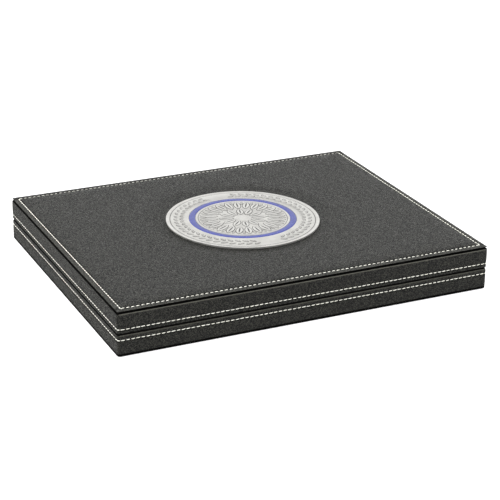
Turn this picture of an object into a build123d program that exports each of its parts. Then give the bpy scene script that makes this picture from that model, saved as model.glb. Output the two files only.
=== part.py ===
from build123d import *
import os

# Coin display case: a shallow hinged box of fibreboard battens and boards under leatherette, with a
# punched coin tray in the base, a satin pad in the lid and a round metal medallion on top of it.
# Millimetres, +Z up, the origin at the centre of the underside, the front towards -Y, hinges at +Y.

# ---- driving dimensions ----
case_width = 305.0          # along X, over the leatherette
case_depth = 245.0          # along Y, without the hinge barrels
corner_radius = 2.2         # of the four upright corners
parting_z = 17.0            # where the lid meets the base
rim_gap = 0.3               # between the two rims when closed
shoulder_z = 33.5           # top of the lid's box, under its top panel
top_z = 35.2                # top of the panel

leather = 1.0               # leatherette with its backing
wall = 8.0                  # thickness of a batten
board = 4.0                 # thickness of the floor and roof boards, with the step
hem_width = 15.0            # leatherette turned in over a board
cover_sheet = 0.2           # sheet under the base
cover_inset = 5.0
rim_radius = 1.5
mouth_ease = 0.5
foot_radius = 1.0
shoulder_radius = 0.9
core_rim_ease = 0.4         # chamfers of the wood under the rounded leatherette
core_foot_ease = 0.5
fit_gap = 0.3               # between pieces that only sit in one another

panel_inset = 0.3           # top panel against the lid's sides
panel_flange = 0.6          # thickness of the edge that stands over the groove
panel_groove = 2.0          # depth of the groove under that edge
panel_skin = 0.3
panel_hem = 12.0
panel_corner_radius = 1.5
panel_edge_radius = 0.4
panel_card = 0.4            # thickness of the card over the turned-in hem

coin_columns = 5
coin_rows = 4
pocket_diameter = 46.0
pocket_pitch_x = 55.0
pocket_pitch_y = 54.0
tray_top_z = 15.3
floor_pad = 3.0

lining_pad = 5.0
lining_card = 1.0
lining_radius = 2.0

hinge_offset_x = 95.0       # hinge centres, left and right of the middle
hinge_length = 32.0
barrel_radius = 2.2
pin_radius = 1.0
pin_clearance = 0.05
pin_head_radius = 1.5
pin_head = 0.6
leaf_depth = 8.3
knuckle_count = 5
opening_angle = 100.0       # the stop wings meet here
wing_gap_angle = 2.5
wing_span_angle = 26.0
wing_reach = 4.3
screw_offset = 11.0         # either side of a hinge's middle
screw_length = 9.0
screw_radius = 0.95
screw_head_radius = 1.9
screw_head_depth = 0.9

magnet_offset_x = 60.0
magnet_radius = 3.0
magnet_height = 3.0
loose_fit = 0.05            # radial, round magnets and screws

medallion_x, medallion_y = 1.6, 2.5
medallion_radius = 61.3
medallion_thick = 1.2       # at the rim
medallion_crown = 0.55      # the middle stands this much above the rim
medallion_rim_width = 2.4
medallion_relief = 0.3
medallion_edge_ease = 0.2
enamel_outer = 43.1
enamel_inner = 37.8
enamel_depth = 0.5
mount_pad_radius = 56.0
mount_pad_thick = 0.4

# ---- sizes that follow ----
core_width, core_depth = case_width - 2 * leather, case_depth - 2 * leather
core_radius = corner_radius - leather
inner_width, inner_depth = core_width - 2 * wall, core_depth - 2 * wall
mouth_width, mouth_depth = inner_width - 2 * leather, inner_depth - 2 * leather
hem_opening_width, hem_opening_depth = core_width - 2 * hem_width, core_depth - 2 * hem_width
back_y = case_depth / 2

base_rim_z = parting_z - rim_gap / 2
base_core_bottom, base_core_top = cover_sheet + leather, base_rim_z - leather
base_floor_z = cover_sheet + board
base_leg_end = 13.0         # the turned-in leatherette ends here, behind the tray's edge
tray_bottom_z = base_floor_z + floor_pad

lid_rim_z = parting_z + rim_gap / 2
lid_core_bottom, lid_core_top = lid_rim_z + leather, shoulder_z - leather
lid_roof_z = shoulder_z - board
lid_leg_end = 24.5          # the turned-in leatherette ends here, behind the lining pad
lining_top_z = lid_roof_z - lining_card
lining_face_z = lining_top_z - lining_pad

axis_y = back_y + barrel_radius + fit_gap
knuckle_length = (hinge_length - (knuckle_count - 1) * fit_gap) / knuckle_count
screw_y = back_y - leather - wall / 2 + 0.4
hinge_centres = {"left": -hinge_offset_x, "right": hinge_offset_x}
screw_places = [(centre + offset, screw_y) for centre in hinge_centres.values()
                for offset in (-screw_offset, screw_offset)]

os.makedirs("parts", exist_ok=True)


def keep(piece, name):
    piece.part.label = name
    export_step(piece.part, f"parts/{name}.step")


def rounded_slab(width, depth, radius, z_low, z_high, low_ease=0.0, high_ease=0.0, ease=fillet):
    """A rounded rectangle between two heights, with its flat edges filleted or chamfered where asked."""
    with BuildPart() as slab:
        with BuildSketch(Plane.XY.offset(z_low)):
            RectangleRounded(width, depth, radius)
        extrude(amount=z_high - z_low)
        if low_ease:
            ease(slab.edges().group_by(Axis.Z)[0], low_ease)
        if high_ease:
            ease(slab.edges().group_by(Axis.Z)[-1], high_ease)
    return slab


# ---- boards: a full-size layer, and a step that fills the space inside the turned-in hem ----
def rebated_board(name, core, step_low, step_high):
    with BuildPart() as piece:
        add(core.part)
        with BuildSketch(Plane.XY.offset(step_low)):
            RectangleRounded(hem_opening_width, hem_opening_depth, core_radius)
        extrude(amount=step_high - step_low)
    keep(piece, name)


rebated_board("base_bottom_board",
              rounded_slab(core_width, core_depth, core_radius, base_core_bottom, base_floor_z,
                           low_ease=core_foot_ease, ease=chamfer),
              cover_sheet, base_core_bottom)
rebated_board("lid_top_board",
              rounded_slab(core_width, core_depth, core_radius, lid_roof_z, lid_core_top,
                           high_ease=core_rim_ease, ease=chamfer),
              lid_core_top, shoulder_z)


# ---- battens: front and back run full length with a rabbet at each end, the sides tuck into it ----
def long_wall(side, z_low, z_high, rim):
    """side is -1 for the front and 1 for the back; rim is 0 where the lower edge is the rim, -1 above."""
    with BuildPart() as piece:
        with BuildSketch(Plane.XY.offset(z_low)):
            with Locations((0, side * (core_depth - wall) / 2)):
                Rectangle(core_width, wall)
            fillet(vertices().filter_by(lambda v: abs(v.Y) > core_depth / 2 - 1), core_radius)
            with GridLocations(core_width - wall, 0, 2, 1):
                with Locations((0, side * (core_depth / 2 - wall * 3 / 4))):
                    Rectangle(wall, wall / 2, mode=Mode.SUBTRACT)
        extrude(amount=z_high - z_low)
        rim_edges = piece.edges().group_by(Axis.Z)[rim]
        outside = rim_edges.filter_by(lambda e: abs(e.center().Y) > core_depth / 2 - 2)
        chamfer(outside, core_rim_ease)
    return piece


def side_wall(side, z_low, z_high, rim):
    with BuildPart() as piece:
        with BuildSketch(Plane.XY.offset(z_low)):
            with Locations((side * (core_width - wall) / 2, 0)):
                Rectangle(wall, core_depth - wall)
        extrude(amount=z_high - z_low)
        rim_edges = piece.edges().group_by(Axis.Z)[rim]
        outside = rim_edges.filter_by(lambda e: abs(e.center().X) > core_width / 2 - 1)
        chamfer(outside, core_rim_ease)
    return piece


for half, wall_low, wall_high, rim in (("base", base_floor_z, base_core_top, -1),
                                       ("lid", lid_core_bottom, lid_roof_z, 0)):
    rim_plane_z = wall_high if half == "base" else wall_low
    into_wood = 1 if half == "base" else -1

    # the front batten has two blind pockets for the magnets, under the leatherette
    front = long_wall(-1, wall_low, wall_high, rim)
    with BuildPart() as front_wall:
        add(front.part)
        for x in (-magnet_offset_x, magnet_offset_x):
            mouth = Plane(origin=(x, -(core_depth - wall) / 2, rim_plane_z), z_dir=(0, 0, into_wood))
            with Locations(mouth):
                Hole(magnet_radius + loose_fit, depth=magnet_height)
    keep(front_wall, f"{half}_front_wall")

    # the back batten has pilot holes for the hinge screws
    back = long_wall(1, wall_low, wall_high, rim)
    with BuildPart() as back_wall:
        add(back.part)
        for x, y in screw_places:
            mouth = Plane(origin=(x, y, rim_plane_z), z_dir=(0, 0, into_wood))
            with Locations(mouth):
                Hole(screw_radius + loose_fit, depth=screw_length)
    keep(back_wall, f"{half}_back_wall")

    keep(side_wall(-1, wall_low, wall_high, rim), f"{half}_left_wall")
    keep(side_wall(1, wall_low, wall_high, rim), f"{half}_right_wall")

    # disc magnets, flush with the batten
    disc_low = rim_plane_z - magnet_height if half == "base" else rim_plane_z
    with BuildPart() as magnets:
        with BuildSketch(Plane.XY.offset(disc_low)):
            with Locations((0, -(core_depth - wall) / 2)):
                with GridLocations(2 * magnet_offset_x, 0, 2, 1):
                    Circle(magnet_radius)
        extrude(amount=magnet_height)
    keep(magnets, f"{half}_magnets")


# ---- leatherette wraps: outer skin, rim turned in to a short leg, and a hem over the board ----
def side_wrap(name, skin, core, hem_low, rim_low, leg_low, leg_high, mouth_z):
    with BuildPart() as piece:
        add(skin.part)
        add(core.part, mode=Mode.SUBTRACT)
        with BuildSketch(Plane.XY.offset(hem_low)):
            RectangleRounded(hem_opening_width, hem_opening_depth, core_radius)
        extrude(amount=leather, mode=Mode.SUBTRACT)
        with BuildSketch(Plane.XY.offset(rim_low)):
            RectangleRounded(mouth_width, mouth_depth, leather)
        extrude(amount=leather, mode=Mode.SUBTRACT)
        with BuildSketch(Plane.XY.offset(leg_low)):
            Rectangle(inner_width, inner_depth)
            RectangleRounded(mouth_width, mouth_depth, leather, mode=Mode.SUBTRACT)
        extrude(amount=leg_high - leg_low)
        mouth_edges = piece.edges().filter_by(
            lambda e: abs(e.center().Z - mouth_z) < 1e-3
            and abs(e.center().X) < mouth_width / 2 + 0.1
            and abs(e.center().Y) < mouth_depth / 2 + 0.1)
        chamfer(mouth_edges, mouth_ease)
        # openings in the rim for the hinge leaves
        leaf_front_y = back_y - leaf_depth - fit_gap
        with BuildSketch(Plane.XY.offset(rim_low)):
            with Locations((0, (leaf_front_y + back_y + leather) / 2)):
                with GridLocations(2 * hinge_offset_x, 0, 2, 1):
                    Rectangle(hinge_length + 2 * fit_gap, back_y + leather - leaf_front_y)
        extrude(amount=leather, mode=Mode.SUBTRACT)
    keep(piece, name)


side_wrap("base_side_wrap",
          rounded_slab(case_width, case_depth, corner_radius, cover_sheet, base_rim_z,
                       low_ease=foot_radius, high_ease=rim_radius),
          rounded_slab(core_width, core_depth, core_radius, base_core_bottom, base_core_top,
                       low_ease=core_foot_ease, high_ease=core_rim_ease, ease=chamfer),
          hem_low=cover_sheet, rim_low=base_core_top,
          leg_low=base_leg_end, leg_high=base_core_top, mouth_z=base_rim_z)
side_wrap("lid_side_wrap",
          rounded_slab(case_width, case_depth, corner_radius, lid_rim_z, shoulder_z,
                       low_ease=rim_radius, high_ease=shoulder_radius),
          rounded_slab(core_width, core_depth, core_radius, lid_core_bottom, lid_core_top,
                       low_ease=core_rim_ease, high_ease=core_rim_ease, ease=chamfer),
          hem_low=lid_core_top, rim_low=lid_rim_z,
          leg_low=lid_core_bottom, leg_high=lid_leg_end, mouth_z=lid_rim_z)

# ---- sheet under the base: the case stands on it ----
keep(rounded_slab(case_width - 2 * cover_inset, case_depth - 2 * cover_inset, corner_radius,
                  0, cover_sheet), "base_bottom_cover")

# ---- coin tray: flocked board punched with the pockets, over a soft floor ----
keep(rounded_slab(inner_width - 2 * fit_gap, inner_depth - 2 * fit_gap, leather,
                  base_floor_z, tray_bottom_z), "tray_floor_pad")

with BuildPart() as coin_tray:
    with BuildSketch(Plane.XY.offset(tray_bottom_z)):
        RectangleRounded(mouth_width - 2 * fit_gap, mouth_depth - 2 * fit_gap, leather)
        with GridLocations(pocket_pitch_x, pocket_pitch_y, coin_columns, coin_rows):
            Circle(pocket_diameter / 2, mode=Mode.SUBTRACT)
    extrude(amount=tray_top_z - tray_bottom_z)
keep(coin_tray, "coin_tray")

# ---- lid lining: a card glued under the roof, with a soft pad on it ----
lining_width, lining_depth = mouth_width - 2 * fit_gap, mouth_depth - 2 * fit_gap
keep(rounded_slab(lining_width, lining_depth, leather, lining_top_z, lid_roof_z), "lid_lining_card")
keep(rounded_slab(lining_width, lining_depth, leather + 1, lining_face_z, lining_top_z,
                  low_ease=lining_radius), "lid_lining_pad")

# ---- top panel: a sewn leatherette cover turned in round a stiff card ----
panel_width, panel_depth = case_width - 2 * panel_inset, case_depth - 2 * panel_inset
card_inset = panel_groove + panel_skin
card_width, card_depth = panel_width - 2 * card_inset, panel_depth - 2 * card_inset
flange_z = top_z - panel_flange
card_low, card_high = top_z - panel_skin - panel_card, top_z - panel_skin

with BuildPart() as lid_top_card:
    with BuildSketch(Plane.XY.offset(card_low)):
        Rectangle(card_width, card_depth)
    extrude(amount=card_high - card_low)
    with BuildSketch(Plane.XY.offset(shoulder_z)):
        Rectangle(panel_width - 2 * panel_hem, panel_depth - 2 * panel_hem)
    extrude(amount=card_low - shoulder_z)
keep(lid_top_card, "lid_top_card")

panel_block = rounded_slab(panel_width, panel_depth, panel_corner_radius, flange_z, top_z,
                           high_ease=panel_edge_radius)
with BuildPart() as lid_top_panel:
    add(panel_block.part)
    with BuildSketch(Plane.XY.offset(shoulder_z)):
        Rectangle(panel_width - 2 * panel_groove, panel_depth - 2 * panel_groove)
    extrude(amount=flange_z - shoulder_z)
    add(lid_top_card.part, mode=Mode.SUBTRACT)
keep(lid_top_panel, "lid_top_panel")

# ---- medallion: struck disc with a raised rim and a channel filled with enamel, on a mounting pad.
# Its outer band rises from the rim to the enamel, and the middle is level ----
medallion_low = top_z + mount_pad_thick
medallion_high = medallion_low + medallion_thick
crown_z = medallion_high + medallion_crown
field_z = medallion_high - medallion_relief
rim_inside = medallion_radius - medallion_rim_width
medallion_plane = Plane(origin=(medallion_x, medallion_y, 0), x_dir=(1, 0, 0), z_dir=(0, -1, 0))
medallion_axis = Axis((medallion_x, medallion_y, 0), (0, 0, 1))

with BuildPart() as medallion_disc:
    with BuildSketch(medallion_plane):
        with BuildLine():
            Polyline((0, medallion_low), (medallion_radius, medallion_low),
                     (medallion_radius, medallion_high), (rim_inside, medallion_high),
                     (rim_inside - medallion_relief, field_z), (enamel_outer, crown_z),
                     (enamel_outer, crown_z - enamel_depth), (enamel_inner, crown_z - enamel_depth),
                     (enamel_inner, crown_z), (0, crown_z), close=True)
        make_face()
        chamfer(vertices().filter_by(lambda v: v.X > medallion_radius - 0.1), medallion_edge_ease)
    revolve(axis=medallion_axis)
keep(medallion_disc, "medallion_disc")

with BuildPart() as medallion_enamel_ring:
    with BuildSketch(Plane.XY.offset(crown_z - enamel_depth)):
        with Locations((medallion_x, medallion_y)):
            Circle(enamel_outer)
            Circle(enamel_inner, mode=Mode.SUBTRACT)
    extrude(amount=enamel_depth)
keep(medallion_enamel_ring, "medallion_enamel_ring")

with BuildPart() as medallion_adhesive_pad:
    with BuildSketch(Plane.XY.offset(top_z)):
        with Locations((medallion_x, medallion_y)):
            Circle(mount_pad_radius)
    extrude(amount=mount_pad_thick)
keep(medallion_adhesive_pad, "medallion_adhesive_pad")


# ---- stop hinges: leaves let into the rims, knuckles round a pin behind the case, stop wings ----
def across(start_x):
    """The plane that looks along the hinge's axis at start_x: its x is Y and its y is Z."""
    return Plane(origin=(start_x, axis_y, parting_z), x_dir=(0, 1, 0), z_dir=(1, 0, 0))


def hinge_leaf(centre_x, up, knuckles, bore_radius):
    """up is 1 for the lid's leaf and -1 for the base's; knuckles are the places that it fills."""
    end_x = centre_x - hinge_length / 2
    leaf_near, leaf_far = rim_gap / 2, rim_gap / 2 + leather
    wing_near = up * (opening_angle / 2 + wing_gap_angle)
    wing_far = wing_near + up * wing_span_angle
    with BuildPart() as leaf:
        with BuildSketch(across(end_x)):
            with Locations((-(axis_y - back_y) - leaf_depth / 2, up * (leaf_near + leaf_far) / 2)):
                Rectangle(leaf_depth, leather)
        extrude(amount=hinge_length)
        # the wing is one bar along the whole hinge, clear of the other leaf's knuckles
        with BuildSketch(across(end_x)):
            with BuildLine():
                inner = CenterArc((0, 0), barrel_radius + fit_gap, wing_near, wing_far - wing_near)
                outer = CenterArc((0, 0), wing_reach, wing_near, wing_far - wing_near)
                Line(inner @ 0, outer @ 0)
                Line(inner @ 1, outer @ 1)
            make_face()
        extrude(amount=hinge_length)
        for place in knuckles:
            knuckle_x = end_x + place * (knuckle_length + fit_gap)
            with BuildSketch(across(knuckle_x)):
                Circle(barrel_radius)
                arm_length = axis_y - back_y + 0.5
                with Locations((-arm_length / 2, up * (leaf_near + leaf_far) / 2)):
                    Rectangle(arm_length, leather)
                with BuildLine():
                    Polyline((0, 0),
                             (Vector(wing_reach - 1, 0).rotate(Axis.Z, wing_near)),
                             (Vector(wing_reach - 1, 0).rotate(Axis.Z, wing_far)), close=True)
                make_face()
            extrude(amount=knuckle_length)
        with BuildSketch(across(end_x)):
            Circle(bore_radius)
        extrude(amount=hinge_length, mode=Mode.SUBTRACT)
        for offset in (-screw_offset, screw_offset):
            face_z = parting_z + up * leaf_near
            mouth = Plane(origin=(centre_x + offset, screw_y, face_z), z_dir=(0, 0, -up))
            with Locations(mouth):
                CounterSinkHole(screw_radius + loose_fit, screw_head_radius + loose_fit)
    return leaf


for side, centre_x in hinge_centres.items():
    base_leaf = hinge_leaf(centre_x, -1, range(0, knuckle_count, 2), pin_radius)
    keep(base_leaf, f"hinge_{side}_base_leaf")
    lid_leaf = hinge_leaf(centre_x, 1, range(1, knuckle_count, 2), pin_radius + pin_clearance)
    keep(lid_leaf, f"hinge_{side}_lid_leaf")

    with BuildPart() as pin:
        with BuildSketch(across(centre_x - hinge_length / 2)):
            Circle(pin_radius)
        extrude(amount=hinge_length)
        for start in (-hinge_length / 2 - pin_head, hinge_length / 2):
            with BuildSketch(across(centre_x + start)):
                Circle(pin_head_radius)
            extrude(amount=pin_head)
        chamfer(pin.edges().group_by(Axis.X)[0] + pin.edges().group_by(Axis.X)[-1], pin_head / 2)
    keep(pin, f"hinge_{side}_pin")

# countersunk screws: the head's face at the origin, the point downwards
with BuildPart() as screw:
    with BuildSketch(Plane.XZ):
        with BuildLine():
            Polyline((0, 0), (screw_head_radius, 0), (screw_radius, -screw_head_depth),
                     (screw_radius, -screw_length + 2 * screw_radius), (0, -screw_length), close=True)
        make_face()
    revolve(axis=Axis.Z)

for half, face_z, tilt in (("base", base_rim_z - loose_fit, 0), ("lid", lid_rim_z + loose_fit, 180)):
    with BuildPart() as screws:
        with Locations(*[Location((x, y, face_z), (tilt, 0, 0)) for x, y in screw_places]):
            add(screw.part)
    keep(screws, f"hinge_{half}_screws")
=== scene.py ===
import math
import random

import bmesh
import bpy
from mathutils import Matrix, Vector, noise


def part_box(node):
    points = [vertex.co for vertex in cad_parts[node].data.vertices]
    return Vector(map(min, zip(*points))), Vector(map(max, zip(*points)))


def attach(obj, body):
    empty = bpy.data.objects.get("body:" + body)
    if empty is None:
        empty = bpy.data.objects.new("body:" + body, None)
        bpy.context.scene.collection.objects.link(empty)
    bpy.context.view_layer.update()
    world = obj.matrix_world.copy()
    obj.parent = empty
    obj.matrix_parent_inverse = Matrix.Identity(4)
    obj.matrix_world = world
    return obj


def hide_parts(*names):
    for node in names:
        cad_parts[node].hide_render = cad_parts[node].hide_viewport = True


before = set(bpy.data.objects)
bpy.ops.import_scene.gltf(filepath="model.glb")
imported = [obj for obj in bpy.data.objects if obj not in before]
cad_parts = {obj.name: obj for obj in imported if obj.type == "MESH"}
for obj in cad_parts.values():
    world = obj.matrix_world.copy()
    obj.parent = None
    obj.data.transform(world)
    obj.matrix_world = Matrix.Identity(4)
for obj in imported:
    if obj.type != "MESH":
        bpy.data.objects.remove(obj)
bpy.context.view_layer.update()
scene = bpy.context.scene
mm = 0.001


# ======== leatherette ========
# Soft charcoal leatherette with a small pebbled grain, used for the sides and the top panel.
# Pebbles, the creases between them and the broader unevenness come from one grain group.

def linear(red, green, blue):
    """A colour as it is read on a screen, 0 to 255, as the shader wants it."""
    channels = []
    for value in (red, green, blue):
        value /= 255
        channels.append(value / 12.92 if value <= 0.04045 else ((value + 0.055) / 1.055) ** 2.4)
    return (*channels, 1)


def place_node(kind, inputs=None, tree=None, **settings):
    """A new node with its settings; an input is a value, or the socket that feeds it."""
    inputs = inputs or {}
    fed = {name: value for name, value in inputs.items() if isinstance(value, bpy.types.NodeSocket)}
    tree = tree or next(iter(fed.values())).id_data
    node = tree.nodes.new("ShaderNode" + kind)
    for name, value in settings.items():
        setattr(node, name, value)
    for name, value in inputs.items():
        if name in fed:
            tree.links.new(value, node.inputs[name])
        else:
            node.inputs[name].default_value = value
    return node


def feed(node, **sockets):
    """Links what changes over the surface to the node's inputs of those names."""
    for socket, value in sockets.items():
        node.id_data.links.new(value, node.inputs[socket.replace("_", " ")])


def maths(operation, *values):
    return place_node("Math", dict(enumerate(values)), operation=operation).outputs[0]


def scaled(value, by, plus=0.0):
    return maths("MULTIPLY_ADD", value, by, plus)


def blend_colours(share, first, second):
    return place_node("Mix", {0: share, 6: first, 7: second}, data_type="RGBA").outputs[2]


def ramp(value, low, high, to_low=0.0, to_high=1.0):
    return place_node("MapRange", {0: value, 1: low, 2: high, 3: to_low, 4: to_high},
                      interpolation_type="SMOOTHSTEP").outputs[0]


def speckle(place, per_metre, detail, **more):
    """Random specks, so many to the metre."""
    return place_node("TexNoise", {
        "Vector": place, "Scale": per_metre, "Detail": detail, **more}).outputs["Fac"]


def mark_on(shader, name):
    """A number that the piece carries at each vertex."""
    return place_node("Attribute", tree=shader.id_data, attribute_name=name).outputs["Fac"]


def new_effect(name, inputs, outputs):
    """A shader node group. inputs and outputs: name -> socket type."""
    group = bpy.data.node_groups.new(name, "ShaderNodeTree")
    for way, sockets in (("INPUT", inputs), ("OUTPUT", outputs)):
        for socket, kind in sockets.items():
            group.interface.new_socket(socket, in_out=way, socket_type="NodeSocket" + kind)
    return group, group.nodes.new("NodeGroupInput").outputs, group.nodes.new("NodeGroupOutput")


def use_effect(group, inputs):
    return place_node("Group", inputs, node_tree=group).outputs


def new_finish(name, **plain):
    """A material with its Principled shader; plain values go straight onto the shader's sockets."""
    finish = bpy.data.materials.new(name)
    finish.use_nodes = True
    shader = finish.node_tree.nodes["Principled BSDF"]
    for socket, value in plain.items():
        shader.inputs[socket.replace("_", " ")].default_value = value
    return finish, shader, place_node("TexCoord", tree=finish.node_tree).outputs["Object"]


def emboss(shader, height, strength, depth):
    """Raises the surface by height, up to depth in millimetres."""
    bump = place_node("Bump", {"Height": height, "Strength": strength, "Distance": depth * mm})
    feed(shader, Normal=bump.outputs[0])


# pebbled grain: Size is a pebble's width in metres
pebble_grain, given, out = new_effect(
    "pebble grain", {"Place": "Vector", "Size": "Float"},
    {"Height": "Float", "Crease": "Float", "Pebble": "Float"})
per_metre = maths("DIVIDE", 1.0, given["Size"])
wander = place_node("TexNoise", {"Vector": given["Place"], "Scale": scaled(per_metre, 0.45),
                                 "Detail": 1.0}).outputs["Color"]
centred = place_node("VectorMath", {0: wander, 1: (0.5, 0.5, 0.5)}, operation="SUBTRACT")
shifted = place_node("VectorMath", {0: centred.outputs[0], "Scale": scaled(given["Size"], 1.3)},
                     operation="SCALE")
crooked = place_node("VectorMath", {0: given["Place"], 1: shifted.outputs[0]},
                     operation="ADD").outputs[0]
to_crease, own_tone = (
    place_node("TexVoronoi", {"Vector": crooked, "Scale": per_metre}, feature=feature).outputs
    for feature in ("DISTANCE_TO_EDGE", "F1"))
dome = ramp(to_crease["Distance"], 0.0, 0.26)
own_tone = place_node("SeparateXYZ", {0: own_tone["Color"]}).outputs[0]
tooth, swell = (speckle(given["Place"], scaled(per_metre, finer), 2.0) for finer in (4.0, 0.3))
height = scaled(own_tone, 0.5, scaled(tooth, 0.22, scaled(dome, 0.7)))
feed(out, Height=scaled(swell, 0.2, height), Crease=maths("SUBTRACT", 1.0, dome), Pebble=own_tone)

# slow change of shade over a piece: Patch is how wide the patches are, in metres
shade_change, given, out = new_effect(
    "slow change of shade",
    {"Place": "Vector", "Patch": "Float", "Darker": "Color", "Lighter": "Color"},
    {"Colour": "Color"})
patches = speckle(given["Place"], maths("DIVIDE", 1.0, given["Patch"]), 3.0, Roughness=0.55)
feed(out, Colour=blend_colours(ramp(patches, 0.3, 0.7), given["Darker"], given["Lighter"]))

# rubbed wear and painted highlight: Edge is 1 on an exposed edge and 0 away from it, and Rub is
# that broken into specks
edge_rub_and_highlight, given, out = new_effect(
    "rubbed edges with painted highlight", {"Place": "Vector", "Edge": "Float", "Speck": "Float"}, {"Rub": "Float"})
specks = speckle(given["Place"], maths("DIVIDE", 1.0, given["Speck"]), 4.0, Roughness=0.6)
feed(out, Rub=scaled(given["Edge"], ramp(specks, 0.42, 0.66)))


def slow_shade(place, patch, darker, lighter):
    """A finish's ground colour, which drifts between two shades over patches of so many mm."""
    return use_effect(shade_change, {"Place": place, "Patch": patch * mm, "Darker": linear(*darker),
                                     "Lighter": linear(*lighter)})["Colour"]


def flecked(ground, fleck, span, amount, colour):
    """The ground with a colour over it, from one amount to another as fleck crosses the span."""
    return blend_colours(ramp(fleck, *span, *amount), ground, linear(*colour))


leatherette, shader, place = new_finish(
    "charcoal leatherette", Roughness=0.5, Specular_IOR_Level=0.37)
grain = use_effect(pebble_grain, {"Place": place, "Size": 0.58 * mm})
pebbled = flecked(slow_shade(place, 22, (8, 8, 6), (13, 13, 10)),
                  grain["Pebble"], (0.35, 0.95), (0.0, 1.0), (77, 77, 68))
in_crease = blend_colours(scaled(grain["Crease"], 0.9), pebbled, linear(8, 8, 8))
stretch_and_painted_highlight, painted_shade_share = mark_on(shader, "edge"), mark_on(shader, "fold")
rub_and_highlight = use_effect(edge_rub_and_highlight, {"Place": place, "Edge": stretch_and_painted_highlight, "Speck": 3 * mm})["Rub"]
# painted highlight: the marked rims are painted lighter where light would catch them, with a few
# rubbed specks of wear, and the grain there is pressed flatter
lighter = scaled(rub_and_highlight, 0.15, scaled(stretch_and_painted_highlight, 0.55))
colour = blend_colours(lighter, in_crease, linear(117, 116, 106))
roughness = scaled(grain["Crease"], 0.2, scaled(grain["Pebble"], -0.5, 0.72))
# painted shade: the sewn channels, the turned folds and the groove are painted near black, and made
# rougher
feed(shader, Base_Color=blend_colours(painted_shade_share, colour, linear(5, 5, 5)),
     Roughness=scaled(stretch_and_painted_highlight, -0.22, scaled(painted_shade_share, 0.4, roughness)))
pressed = scaled(stretch_and_painted_highlight, -0.6, 1.0)
emboss(shader, scaled(maths("SUBTRACT", grain["Height"], 0.7), pressed), 1.0, 0.45)

# painted shade: where the leatherette folds into a gap, its cut edge and back get this matt black
# finish, which stands in for the shade there
painted_shade_finish, shader, place = new_finish(
    "black leatherette for painted shade", Roughness=0.95, Specular_IOR_Level=0.04)
feed(shader, Base_Color=slow_shade(place, 6, (4, 4, 4), (12, 12, 11)))
grain = use_effect(pebble_grain, {"Place": place, "Size": 0.9 * mm})
emboss(shader, grain["Height"], 0.6, 0.15)


# ======== leatherette over the lid's four sides ========
# Glued round the battens, turned in over the rim and under the top panel.
# A row of ivory stitches runs round it near the rim and pulls a shallow channel into the padding.

def take(piece):
    """Selects one piece alone, as the active one."""
    bpy.ops.object.select_all(action="DESELECT")
    piece.select_set(True)
    bpy.context.view_layer.objects.active = piece


def made_piece(name):
    """Names the object that the last primitive made, and puts its place into its mesh."""
    bpy.ops.object.transform_apply()
    piece = bpy.context.active_object
    piece.name = piece.data.name = name
    return piece


def start_editing(piece):
    take(piece)
    bpy.ops.object.mode_set(mode="EDIT")


def stop_editing(turn_outwards=False):
    if turn_outwards:
        bpy.ops.mesh.select_all(action="SELECT")
        bpy.ops.mesh.normals_make_consistent()
    bpy.ops.object.mode_set(mode="OBJECT")


def pick(piece, kind, test):
    """In edit mode, selects only the faces, edges or vertices that pass the test."""
    bpy.ops.mesh.select_mode(type=kind)
    bpy.ops.mesh.select_all(action="DESELECT")
    mesh = bmesh.from_edit_mesh(piece.data)
    parts = {"FACE": mesh.faces, "EDGE": mesh.edges, "VERT": mesh.verts}[kind]
    for part in parts:
        if test(part):
            part.select_set(True)
    mesh.select_flush_mode()
    bmesh.update_edit_mesh(piece.data)


def middle(edge):
    return (edge.verts[0].co + edge.verts[1].co) / 2


def run_of(edge):
    return edge.verts[1].co - edge.verts[0].co


touching = 0.001 * mm


def is_level(edge, z):
    """Whether the middle of an edge lies at this height."""
    return abs(middle(edge).z - z) < touching


def cut(axis, at):
    """Cuts the whole piece across one axis."""
    where, facing = [0, 0, 0], [0, 0, 0]
    where[axis], facing[axis] = at, 1
    bpy.ops.mesh.select_all(action="SELECT")
    bpy.ops.mesh.bisect(plane_co=where, plane_no=facing)


def round_edges(radius, segments):
    bpy.ops.mesh.bevel(offset=radius, segments=segments, affect="EDGES")


def extrude(scale=None, move=None):
    """Extrudes what is selected, then widens or narrows it about the middle, or moves it."""
    bpy.ops.mesh.extrude_region()
    if scale:
        bpy.ops.transform.resize(value=scale, center_override=(0, 0, 0))
    if move:
        bpy.ops.transform.translate(value=move)


def modify(piece, kind, **values):
    take(piece)
    modifier = piece.modifiers.new(kind.title(), kind)
    for key, value in values.items():
        setattr(modifier, key, value)
    bpy.ops.object.modifier_apply(modifier=modifier.name)


def smooth(piece, degrees):
    take(piece)
    bpy.ops.object.shade_smooth_by_angle(angle=math.radians(degrees))


def mark(piece, name, share_of):
    """A number from 0 to 1 at each vertex, for the piece's material to read."""
    attribute = piece.data.attributes.new(name, "FLOAT", "POINT")
    attribute.data.foreach_set("value", [float(share_of(v.co)) for v in piece.data.vertices])


def finish_piece(piece, material, slot, body, *nodes):
    piece.data.materials.clear()
    piece.data.materials.append(material)
    if nodes:
        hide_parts(*nodes)
    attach(piece, body)


def paint_shade_faces(piece, shaded_at):
    """Gives the faces where shaded_at(spot) is over a half the black finish that paints shade."""
    piece.data.materials.append(painted_shade_finish)
    for face in piece.data.polygons:
        face.material_index = 1 if shaded_at(face.center) > 0.5 else 0


def part_of(value, whole=1):
    """The value as a share of the whole, held between 0 and 1."""
    return min(max(value / whole, 0), 1)


def fading(distance, reach, power=2):
    """1 at no distance, dying away beyond the reach."""
    return math.exp(-((distance / reach) ** power))


def swells(x, y, z, length):
    """Slow random rise and fall, -1 to 1, with a swing of about this length."""
    return noise.noise(Vector((x, y, z)) / length)


def needle_hole(stitches):
    """1 at each needle hole and 0 halfway along a stitch, for a run counted in stitches."""
    return (0.5 + 0.5 * math.cos(2 * math.pi * stitches)) ** 2


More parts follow.
